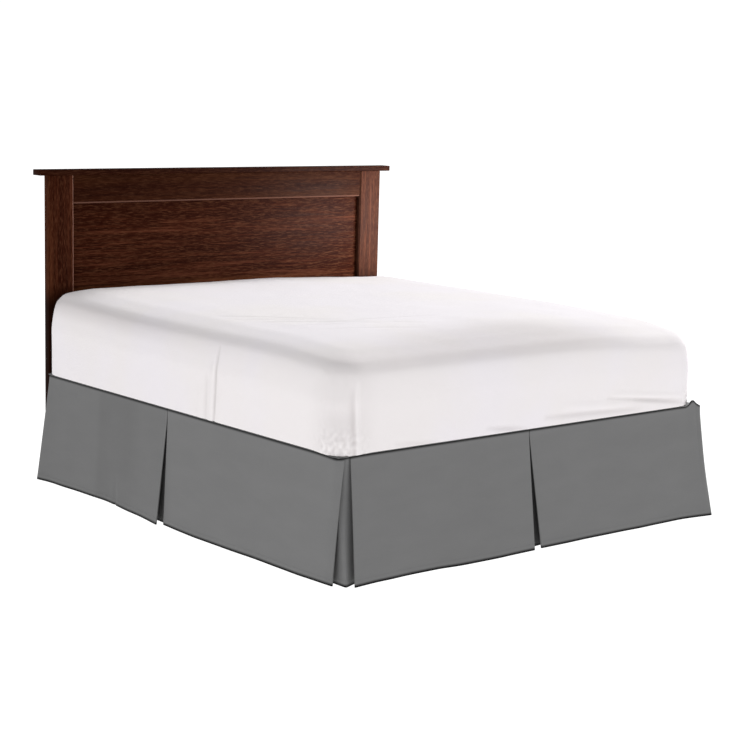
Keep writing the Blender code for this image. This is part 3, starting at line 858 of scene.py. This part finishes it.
def hang(name, lines, top_place, hem_place, swells, edges=()):
    """Cloth that falls from its seam to its hem along its lines, shaded by the edges in front of it."""
    levels = drop_levels()
    columns, rows = len(lines) - 1, len(levels) - 1
    seam_z, hem_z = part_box(name)[1].z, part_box(name)[0].z
    shape = bmesh.new()
    uv = shape.loops.layers.uv.new("cloth")
    inside = shape.verts.layers.float.new("inside")
    bmesh.ops.create_grid(shape, x_segments=columns, y_segments=rows, size=0.5, calc_uvs=True)
    travel = [0.0]
    for before, after in zip(lines, lines[1:]):
        seam_step = (top_place(*after.top) - top_place(*before.top)).length
        hem_step = (hem_place(*after.hem) - hem_place(*before.hem)).length
        travel.append(travel[-1] + (seam_step + hem_step) / 2)
    for face in shape.faces:
        for loop in face.loops:
            column, row = (round(share * count) for share, count in zip(loop[uv].uv, (columns, rows)))
            loop[uv].uv = (travel[column], levels[rows - row] * DROP_LENGTH)
    hem_turn = 1 - HEM_DEPTH / DROP_LENGTH
    has_tip = name == "skirt_drop_foot"
    for vert in shape.verts:
        line = lines[round((vert.co.x + 0.5) * columns)]
        fall = levels[round((0.5 - vert.co.y) * rows)]
        seam, hem = top_place(*line.top), hem_place(*line.hem)
        plan = seam.lerp(hem, late_start(fall) ** line.ease)
        outward = (top_place(line.top[0], line.top[1] + 1) - seam).normalized()
        plan += outward * line.swell * soft_fold(swells, line.hem[0], fall)
        if fall > hem_turn:
            plan += outward * HEM_STAND
        height = seam_z + (hem_z - seam_z) * fall - corner_droop(seam.x, seam.y) * (1 - fall)
        if has_tip and line.top[0] > 0:
            rise, out = corner_tip(line.top[0], fall)
            height += rise
            plan += outward * out
        vert.co = (*plan, height)
        vert[inside] = max([line.inside] + [edge_shade(plan, fall, edge) for edge in edges])
    return thick_cloth(mesh_of(shape, name))


def side_drop_lines(side):
    past_corner = ARC_LENGTH + CORNER_WRAP if side < 0 else -CORNER_GAP
    corner_top, corner_hem = -(SIDE_FLAT + past_corner), FOOT_PANEL_FLARE[-1]
    head_hem, foot_hem = HEAD_PANEL_FLARE[-1], FOOT_PANEL_FLARE[0]
    turn_top = -(SIDE_FLAT - PLATFORM_CORNER)
    head_panel = panel(
        HEAD_PANEL_FLARE,
        (SIDE_HEAD_END, SIDE_PLEAT_Y + PLEAT_GAP),
        (HEAD_PANEL_FLARE[0].at, head_hem.at),
        free_end=False,
    )
    pleat = box_pleat(-1, SIDE_PLEAT_Y, head_hem, foot_hem, *SIDE_PLEAT_INNER_OUTS)
    foot_panel = panel(
        FOOT_PANEL_FLARE,
        (SIDE_PLEAT_Y - PLEAT_GAP, turn_top),
        (foot_hem.at, SIDE_TURN_HEM),
        free_start=False,
    )
    corner_panel = panel(
        FOOT_PANEL_FLARE,
        (turn_top, corner_top),
        (SIDE_TURN_HEM, corner_hem.at),
        CORNER_COLUMNS,
        free_end=False,
        eases=(1, SPLIT_EASE),
    )
    corner_edge = fold(0, -1, 1, corner_top, corner_hem.at, corner_hem.out - HEM_FOLD, SPLIT_EASE)
    last_return = return_end(corner_top + PLEAT_DEPTH, corner_hem.at + PLEAT_DEPTH, SIDE_RETURN_OUT)
    return (
        head_panel[:-1]
        + pleat
        + foot_panel[1:-1]
        + corner_panel[:-1]
        + corner_edge
        + layer(corner_edge, last_return)
        + last_return
    )


def foot_drop_lines():
    left_top = -(FOOT_FLAT - CORNER_WRAP - CORNER_SPLIT)
    right_top = FOOT_FLAT + ARC_LENGTH
    left_hem, left_pleat_hem = LEFT_PANEL_FLARE[0], LEFT_PANEL_FLARE[-1]
    right_pleat_hem, right_hem = RIGHT_PANEL_FLARE[0], RIGHT_PANEL_FLARE[-1]
    turn_top = FOOT_FLAT - PLATFORM_CORNER
    first_return = return_end(left_top + PLEAT_DEPTH, left_hem.at + PLEAT_DEPTH, LEFT_RETURN_OUT)
    left_edge = fold(0, -1, -1, left_top, left_hem.at, left_hem.out - HEM_FOLD, SPLIT_EASE)
    left_panel = panel(
        LEFT_PANEL_FLARE,
        (left_top, FOOT_PLEAT_X - PLEAT_GAP),
        (left_hem.at, left_pleat_hem.at),
        free_start=False,
        free_end=False,
        eases=(SPLIT_EASE, 1),
    )
    pleat = box_pleat(1, FOOT_PLEAT_X, left_pleat_hem, right_pleat_hem, *FOOT_PLEAT_INNER_OUTS)
    right_panel = panel(
        RIGHT_PANEL_FLARE,
        (FOOT_PLEAT_X + PLEAT_GAP, turn_top),
        (right_pleat_hem.at, FOOT_TURN_HEM),
        free_start=False,
    )
    corner_panel = panel(
        RIGHT_PANEL_FLARE,
        (turn_top, right_top),
        (FOOT_TURN_HEM, right_hem.at),
        CORNER_COLUMNS,
        free_end=False,
    )
    right_edge = fold(0, 1, 1, right_top, right_hem.at, right_hem.out - HEM_FOLD)
    last_return = return_end(right_top - PLEAT_DEPTH, right_hem.at - PLEAT_DEPTH, RIGHT_RETURN_OUT)
    return (
        first_return
        + layer(first_return, left_edge)
        + left_edge
        + left_panel[1:-1]
        + pleat
        + right_panel[1:-1]
        + corner_panel[:-1]
        + right_edge
        + layer(right_edge, last_return)
        + last_return
    )


drop_finish = brushed_cloth("drop_cloth", DROP_LENGTH)


def hung_piece(name, cloth, node):
    """A cloth of the skirt as a piece that hangs from the platform, in place of its node."""
    piece = new_piece(name, cloth, drop_finish, 50)
    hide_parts(node)


for side, word in ((-1, "left"), (1, "right")):
    cloth = hang(
        f"skirt_drop_{word}",
        side_drop_lines(side),
        partial(side_border, side),
        partial(side_hem_place, side),
        SIDE_SWELLS,
    )
    hung_piece(f"{word}_drop_cloth", cloth, f"skirt_drop_{word}")

cloth = hang("skirt_drop_foot", foot_drop_lines(), border, foot_hem_place, FOOT_SWELLS)
hung_piece("foot_drop_cloth", cloth, "skirt_drop_foot")


# The corner pieces
# A short piece of the same cloth hangs behind each split foot corner. It is flat round the platform's
# corner at its seam and comes to a soft ridge at its hem.
INSERT_LEG = 0.090
INSERT_DEPTH = 2 * PLEAT_LAYER
INSERT_COLUMNS = 12
RIDGE_COLUMNS = 10
RIDGE_SIDE_OUT = -0.009
RIDGE_FOOT_OUT = 0.051
INSERT_SIDE_END_OUT = -0.006
INSERT_FOOT_END_OUT = 0.008
RIDGE_RADIUS = 0.010
INSERT_EASE = 1.15


def corner_piece(side, word):
    side_start = FOOT_FLAT + ARC_LENGTH
    distances = (
        steps(side_start + INSERT_LEG, side_start, INSERT_COLUMNS)
        + steps(side_start, FOOT_FLAT, RIDGE_COLUMNS)[1:-1]
        + steps(FOOT_FLAT, FOOT_FLAT - INSERT_LEG, INSERT_COLUMNS)
    )
    ridge = Vector((PANEL_X + RIDGE_SIDE_OUT, -(PANEL_Y + RIDGE_FOOT_OUT)))
    side_end = Vector((PANEL_X + INSERT_SIDE_END_OUT, -SIDE_FLAT + INSERT_LEG))
    foot_end = Vector((FOOT_FLAT - INSERT_LEG, -(PANEL_Y + INSERT_FOOT_END_OUT)))
    from_side = ridge + (side_end - ridge).normalized() * RIDGE_RADIUS
    to_foot = ridge + (foot_end - ridge).normalized() * RIDGE_RADIUS
    bend = [from_side.lerp(ridge, t).lerp(ridge.lerp(to_foot, t), t) for t in steps(0, 1, RIDGE_COLUMNS)]
    hem_points = (
        [side_end.lerp(from_side, t) for t in steps(0, 1, INSERT_COLUMNS)]
        + bend[1:-1]
        + [to_foot.lerp(foot_end, t) for t in steps(0, 1, INSERT_COLUMNS)]
    )
    lines = [
        Line((side * distance, -INSERT_DEPTH), (point.x, point.y), 0.0, INSERT_EASE, 0.0)
        for distance, point in zip(distances, hem_points)
    ]
    foot_hem = LEFT_PANEL_FLARE[0] if side < 0 else RIGHT_PANEL_FLARE[-1]
    side_top = FOOT_FLAT - CORNER_WRAP if side < 0 else side_start + CORNER_GAP
    foot_top = FOOT_FLAT - CORNER_WRAP - CORNER_SPLIT if side < 0 else side_start
    side_edge_hem = side_hem_place(side, *FOOT_PANEL_FLARE[-1])
    foot_edge_hem = foot_hem_place(*foot_hem)
    # Painted shade on the insert behind the two drops' edges, strong at the side and faint at the foot
    edges = [
        Edge(border(side * side_top, 0), side_edge_hem, reach=0.026, strength=0.95),
        Edge(border(side * foot_top, 0), foot_edge_hem, reach=0.010, strength=0.1),
    ]

    def hem_place(x, y):
        return Vector((side * x, y))

    cloth = hang(f"skirt_corner_{word}", lines, border, hem_place, SIDE_SWELLS, edges)
    hung_piece(f"{word}_corner_cloth", cloth, f"skirt_corner_{word}")


for side, word in ((-1, "left"), (1, "right")):
    corner_piece(side, word)


# The mattress in its fitted sheet
# A thick mattress with soft shoulders and a low crown, in a smooth white sheet. Its elastic edge is
# tucked underneath, and draws small puckers round the foot corners, beside the corner seams.
SHEET_WHITE = (0.835, 0.800, 0.830)
SHEET_CREAM = (0.835, 0.798, 0.802)
SHEET_YARN = 0.0008
SHEET_VOXEL = 0.015
SHEET_SMOOTHING = 8
SHEET_TUCK = 0.070
SHEET_RIM = 0.004
SHOULDER_FLATTENING = 0.004
SHOULDER_LEAN = 0.014
FOOT_LEAN = 0.006
FOOT_ROLL = 0.016
HEAD_LIFT = 0.013
RIGHT_SINK = 0.013
FOOT_RIGHT_SINK = 0.020
CORNER_BULGE = 0.016
WAVE_HEIGHT = 0.0030
RIPPLE_HEIGHT = 0.0012
PUCKER_DEPTH = 0.0046
CREASE_UNIT = 0.004
CREASE_SHADE = (0.40, 0.36, 0.36)
mattress_low, mattress_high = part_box("mattress")
SHOULDER = mattress_high.z - 0.075
# Below this height the sheet is tucked in, and past these places its mesh is finer
TUCK_TOP = mattress_low.z + 0.03
FINE_SIDE = -0.86
FINE_FOOT = -0.90
FINE_TOP = 0.05

# The shade on the foot shoulder, at places across it: how far in from the foot it starts, and how
# strong it is
SHADE_INSET = [
    Flare(-0.95, 0.02),
    Flare(-0.65, 0.06),
    Flare(-0.37, 0.11),
    Flare(-0.07, 0.14),
    Flare(0.15, 0.10),
    Flare(0.34, 0.03),
    Flare(0.60, 0.0),
]
SHADE_STRENGTH = [
    Flare(-1.0, 0.55),
    Flare(-0.65, 0.85),
    Flare(-0.30, 1.10),
    Flare(0.15, 1.05),
    Flare(0.45, 0.70),
    Flare(0.70, 0.10),
    Flare(0.90, 0.0),
]
SHADE_FADE = 0.17

# A soft trough in the sheet, or a ridge where its depth is negative. Its face gives the way that it
# looks and which two coordinates its ends have.
Crease = namedtuple("Crease", "face start end width depth")
FACES = {
    "top": (Vector((0, 0, 1)), (0, 1)),
    "left": (Vector((-1, 0, 0)), (1, 2)),
    "foot": (Vector((0, -1, 0)), (0, 2)),
}
CREASES = [
    Crease("left", (-0.258, 0.440), (-0.278, 0.750), 0.0075, 0.0060),
    Crease("left", (-0.236, 0.440), (-0.252, 0.700), 0.014, -0.0036),
    Crease("left", (-0.205, 0.440), (-0.212, 0.640), 0.012, 0.0020),
    Crease("left", (-0.165, 0.440), (-0.160, 0.600), 0.012, -0.0016),
    Crease("left", (-0.300, 0.440), (-0.330, 0.640), 0.022, -0.0016),
    Crease("foot", (-0.866, 0.440), (-0.884, 0.730), 0.008, -0.0040),
    Crease("foot", (-0.884, 0.440), (-0.900, 0.700), 0.010, 0.0030),
    Crease("foot", (0.866, 0.440), (0.884, 0.700), 0.007, -0.0030),
    Crease("foot", (0.400, 0.542), (0.870, 0.490), 0.008, 0.0034),
    Crease("foot", (0.440, 0.556), (0.880, 0.510), 0.010, -0.0022),
    Crease("foot", (0.560, 0.520), (0.900, 0.474), 0.007, 0.0030),
    Crease("foot", (0.060, 0.500), (0.600, 0.480), 0.011, 0.0034),
    Crease("foot", (-0.250, 0.488), (-0.050, 0.468), 0.010, 0.0032),
    Crease("foot", (0.160, 0.534), (0.500, 0.508), 0.015, -0.0018),
    Crease("foot", (-0.700, 0.480), (-0.500, 0.466), 0.010, 0.0018),
    Crease("top", (-0.810, -0.060), (-0.470, -0.390), 0.009, 0.0026),
    Crease("top", (-0.780, -0.160), (-0.400, -0.480), 0.011, -0.0026),
    Crease("top", (-0.760, -0.280), (-0.280, -0.600), 0.009, 0.0028),
    Crease("top", (-0.720, -0.420), (-0.140, -0.620), 0.012, -0.0030),
    Crease("top", (-0.600, -0.420), (-0.040, -0.480), 0.010, 0.0024),
    Crease("top", (-0.690, -0.560), (-0.300, -0.700), 0.010, 0.0022),
]


def fitted_sheet():
    finish = Finish(
        "fitted_sheet",
        {"Roughness": 0.82, "Specular IOR Level": 0.25, "Sheen Weight": 0.15, "Sheen Roughness": 0.4},
    )
    drift = finish.grain(finish.place(), 1.6, detail=3, roughness=0.55)
    rumple = finish.grain(finish.place(), 22, detail=5, roughness=0.6, distortion=0.8)
    colour = finish.blend(finish.remap(drift, 0.38, 0.62, 0.0, 1.0, "SMOOTHSTEP"), SHEET_WHITE, SHEET_CREAM)
    hollow = finish.node("ShaderNodeAttribute", {"attribute_name": "hollow"}, output="Fac")
    # Painted shade in the creases, the puckers and along the shoulders
    colour = finish.blend(finish.remap(hollow, 0.0, 1.6, 0.0, 0.55), colour, CREASE_SHADE)
    finish.feed(finish.shader.inputs["Base Color"], colour)
    finish.emboss(0.03 * threads(finish, SHEET_YARN) + rumple, 0.0012)
    return finish.material


def crease_depth(point, normal, crease):
    """How deep a crease is at a point of the sheet."""
    outward, (across, up) = FACES[crease.face]
    facing = smooth_share(normal.dot(outward), 0.35, 0.75)
    if not facing:
        return 0.0
    start, line = Vector(crease.start), Vector(crease.end) - Vector(crease.start)
    offset = Vector((point[across], point[up])) - start
    t = min(max(offset.dot(line) / line.length_squared, 0.0), 1.0)
    reach = ((offset - line * t).length / crease.width) ** 2
    if reach > 8:
        return 0.0
    return crease.depth * facing * math.sin(math.pi * (0.1 + 0.85 * t)) ** 0.7 * math.exp(-reach)


def near_corner(point, near, far):
    """How near a point is in plan to the foot corner on its side: 1 up to near, and 0 beyond far."""
    corner = Vector((math.copysign(mattress_high.x, point.x), mattress_low.y))
    return 1 - smooth_share((point.xy - corner).length, near, far)


def pucker_depth(point):
    """The gathers that the elastic draws beside a foot corner's seam, in flat rows."""
    turn = math.atan2(point.y + 0.9, abs(point.x) - 0.85)
    low = 1 - smooth_share(point.z, TUCK_TOP, TUCK_TOP + 0.10)
    gathers = noise.noise(Vector((turn * 9, point.z * 62, 3.0)))
    return PUCKER_DEPTH * near_corner(point, 0.05, 0.17) * low * gathers


def shoulder_shade(point):
    """The soft shade along the near shoulders, where the stretched sheet turns down."""
    beyond = max(point.y - mattress_low.y - flare_at(SHADE_INSET, point.x), 0) / SHADE_FADE
    foot = flare_at(SHADE_STRENGTH, point.x) * math.exp(-beyond * beyond)
    foot *= smooth_share(point.z, 0.745, 0.800)
    side = 0.15 + 0.75 * smooth_share(point.y, -0.6, 0.8)
    side *= smooth_share(point.z, 0.690, 0.760) * (1 - smooth_share(point.z, 0.770, 0.805))
    side *= smooth_share(-point.x, 0.85, 0.92)
    corner = 0.36 * near_corner(point, 0.05, 0.20) if point.x < 0 else 0.0
    return max(foot, side, corner)


def refined_mattress():
    """The mattress's outline from the frame, with an even fine mesh and a flat cut at the platform."""
    merged = bmesh.new()
    merged.from_mesh(nodes["mattress"].data)
    bmesh.ops.remove_doubles(merged, verts=merged.verts, dist=TOUCHING)
    for vert in merged.verts:
        if vert.co.z < TUCK_TOP:
            vert.co.z -= SHEET_TUCK
    outline = mesh_of(merged, "mattress_outline")
    shape = bmesh.new()
    shape.from_mesh(modified(outline, "REMESH", mode="VOXEL", voxel_size=SHEET_VOXEL))
    smooth(shape, SHEET_SMOOTHING)
    bmesh.ops.bisect_plane(
        shape,
        geom=shape.verts[:] + shape.edges[:] + shape.faces[:],
        dist=TOUCHING,
        plane_co=(0, 0, mattress_low.z),
        plane_no=(0, 0, -1),
        clear_outer=True,
    )
    fine = set()
    for face in shape.faces:
        centre = face.calc_center_median()
        side = centre.x < FINE_SIDE or centre.y < FINE_FOOT
        if side or (centre.z > SHOULDER and centre.x < FINE_TOP and centre.y < FINE_TOP):
            fine.update(face.edges)
    bmesh.ops.subdivide_edges(shape, edges=list(fine), cuts=1, use_grid_fill=True, smooth=1.0)
    smooth(shape, 2)
    return shape


def smooth(shape, rounds):
    for _ in range(rounds):
        inner = [v for v in shape.verts if not v.is_boundary]
        bmesh.ops.smooth_vert(
            shape, verts=inner, factor=0.5, use_axis_x=True, use_axis_y=True, use_axis_z=True
        )


def settled(point, normal, tilt, depth):
    """How the sheeted mattress's surface moves at a point: unevenness, soft shoulders and sagging."""
    seat = mattress_low.z
    rise = smooth_share(point.z, seat, mattress_high.z - 0.05)
    waves = noise.noise(point * 2.6) * WAVE_HEIGHT + noise.noise(point * 8.0) * RIPPLE_HEIGHT
    flattening = SHOULDER_FLATTENING * smooth_share(tilt, 5, 42) * (1 - smooth_share(tilt, 48, 85))
    move = normal * (waves * rise - depth - flattening)
    near = near_corner(point, 0.03, 0.16)
    if point.x < 0:
        low = 1 - smooth_share(point.z, seat + 0.02, seat + 0.17)
        move += Vector((-CORNER_BULGE, -CORNER_BULGE, 0)) * near * low
    else:
        move += Vector((-CORNER_BULGE, CORNER_BULGE, 0)) * 0.25 * near
    lean = smooth_share(point.z, 0.64, 0.78)
    move.x -= math.copysign(SHOULDER_LEAN, point.x) * lean * smooth_share(abs(point.x), 0.4, 0.9)
    move.y -= math.copysign(FOOT_LEAN, point.y) * lean * smooth_share(abs(point.y), 0.4, 0.9)
    roll_start = 0.56 + 0.20 * smooth_share(point.x, -0.15, 0.35)
    foot_right = smooth_share(point.x, 0.35, 0.95) * smooth_share(-point.y, 0.2, 1.0)
    move.z -= rise * FOOT_ROLL * smooth_share(-point.y, roll_start, 1.0)
    move.z += rise * HEAD_LIFT * smooth_share(point.y, 0.3, 0.9) * (1 - smooth_share(point.x, 0.0, 0.8))
    move.z -= rise * (RIGHT_SINK * smooth_share(point.x, 0.0, 0.95) + FOOT_RIGHT_SINK * foot_right)
    move.z -= corner_droop(point.x, point.y) * (1 - smooth_share(point.z, seat, seat + 0.10))
    return move


sheet = refined_mattress()
sheet.normal_update()
hollow = sheet.verts.layers.float.new("hollow")
moves = []
for vert in sheet.verts:
    point = vert.co
    tilt = math.degrees(math.acos(min(max(vert.normal.z, -1), 1)))
    depth = sum(crease_depth(point, vert.normal, crease) for crease in CREASES) + pucker_depth(point)
    # Painted shade: creases and puckers darken with their depth, and the shoulders get their own band
    vert[hollow] = depth / CREASE_UNIT * (0.5 if tilt < 30 else 1) + shoulder_shade(point)
    moves.append(settled(point, vert.normal, tilt, depth))
for vert, move in zip(sheet.verts, moves):
    vert.co += move
rim = [e for e in sheet.edges if e.is_boundary]
bmesh.ops.contextual_create(sheet, geom=rim)
round_edges(sheet, rim, SHEET_RIM, 2)
bmesh.ops.recalc_face_normals(sheet, faces=sheet.faces)

sheet_mesh = mesh_of(sheet, "sheeted_mattress")
piece = new_piece("sheeted_mattress", sheet_mesh, fitted_sheet(), 60)
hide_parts("mattress")


# The studio
# A pale floor that glows a little, white surroundings, and soft lights: a wide one from the right and
# above, low ones from the left and the foot, and a small one that lights the headboard alone.
FLOOR_REACH = 120
FLOOR_GLOW = 1.15
FLOOR_WHITE = (0.06, 0.06, 0.06)
SURROUND_LIGHT = 0.50
SURROUND_SEEN = 1.05

floor_shape = bmesh.new()
bmesh.ops.create_grid(floor_shape, x_segments=1, y_segments=1, size=FLOOR_REACH)
floor_mesh = mesh_of(floor_shape, "floor")
floor_finish = Finish(
    "floor_white",
    {
        "Base Color": (*FLOOR_WHITE, 1),
        "Roughness": 1.0,
        "Specular IOR Level": 0.0,
        "Emission Color": (1, 1, 1, 1),
        "Emission Strength": FLOOR_GLOW,
    },
)
floor_mesh.materials.append(floor_finish.material)
floor = bpy.data.objects.new("floor", floor_mesh)
bpy.context.scene.collection.objects.link(floor)

world = bpy.data.worlds.new("studio")
world.use_nodes = True
sky = world.node_tree.nodes["Background"]
sky.inputs["Color"].default_value = (1, 1, 1, 1)
sight = world.node_tree.nodes.new("ShaderNodeLightPath")
strength = world.node_tree.nodes.new("ShaderNodeMapRange")
strength.inputs["To Min"].default_value = SURROUND_LIGHT
strength.inputs["To Max"].default_value = SURROUND_SEEN
world.node_tree.links.new(sight.outputs["Is Camera Ray"], strength.inputs["Value"])
world.node_tree.links.new(strength.outputs["Result"], sky.inputs["Strength"])
bpy.context.scene.world = world
bpy.context.scene.view_settings.view_transform = "Standard"

wood_pieces = bpy.data.collections.new("wood_pieces")
for board in BOARDS:
    wood_pieces.objects.link(bpy.data.objects[f"{board.name}_board"])

Lamp = namedtuple("Lamp", "name place aim width height watts")
LAMPS = [
    Lamp("key_light", place=(18.0, 7.6, 16.6), aim=(0, 0, 0.8), width=8.0, height=8.0, watts=6100),
    Lamp("side_light", place=(-6.6, -2.4, 0.60), aim=(-1, -0.4, 0.5), width=5.0, height=0.8, watts=86),
    Lamp("foot_light", place=(4.2, -7.2, 1.40), aim=(0.2, -1.1, 0.5), width=5.0, height=1.2, watts=108),
    Lamp("wood_light", place=(1.7, 0.2, 1.2), aim=(0.5, 1.05, 1.1), width=0.5, height=0.5, watts=42),
]
for lamp in LAMPS:
    data = bpy.data.lights.new(lamp.name, "AREA")
    data.shape = "RECTANGLE"
    data.size, data.size_y = lamp.width, lamp.height
    data.energy = lamp.watts
    light = bpy.data.objects.new(lamp.name, data)
    light.location = lamp.place
    light.rotation_euler = (Vector(lamp.aim) - Vector(lamp.place)).to_track_quat("-Z", "Y").to_euler()
    light.visible_camera = False
    bpy.context.scene.collection.objects.link(light)
    if lamp.name == "wood_light":
        light.light_linking.receiver_collection = wood_pieces
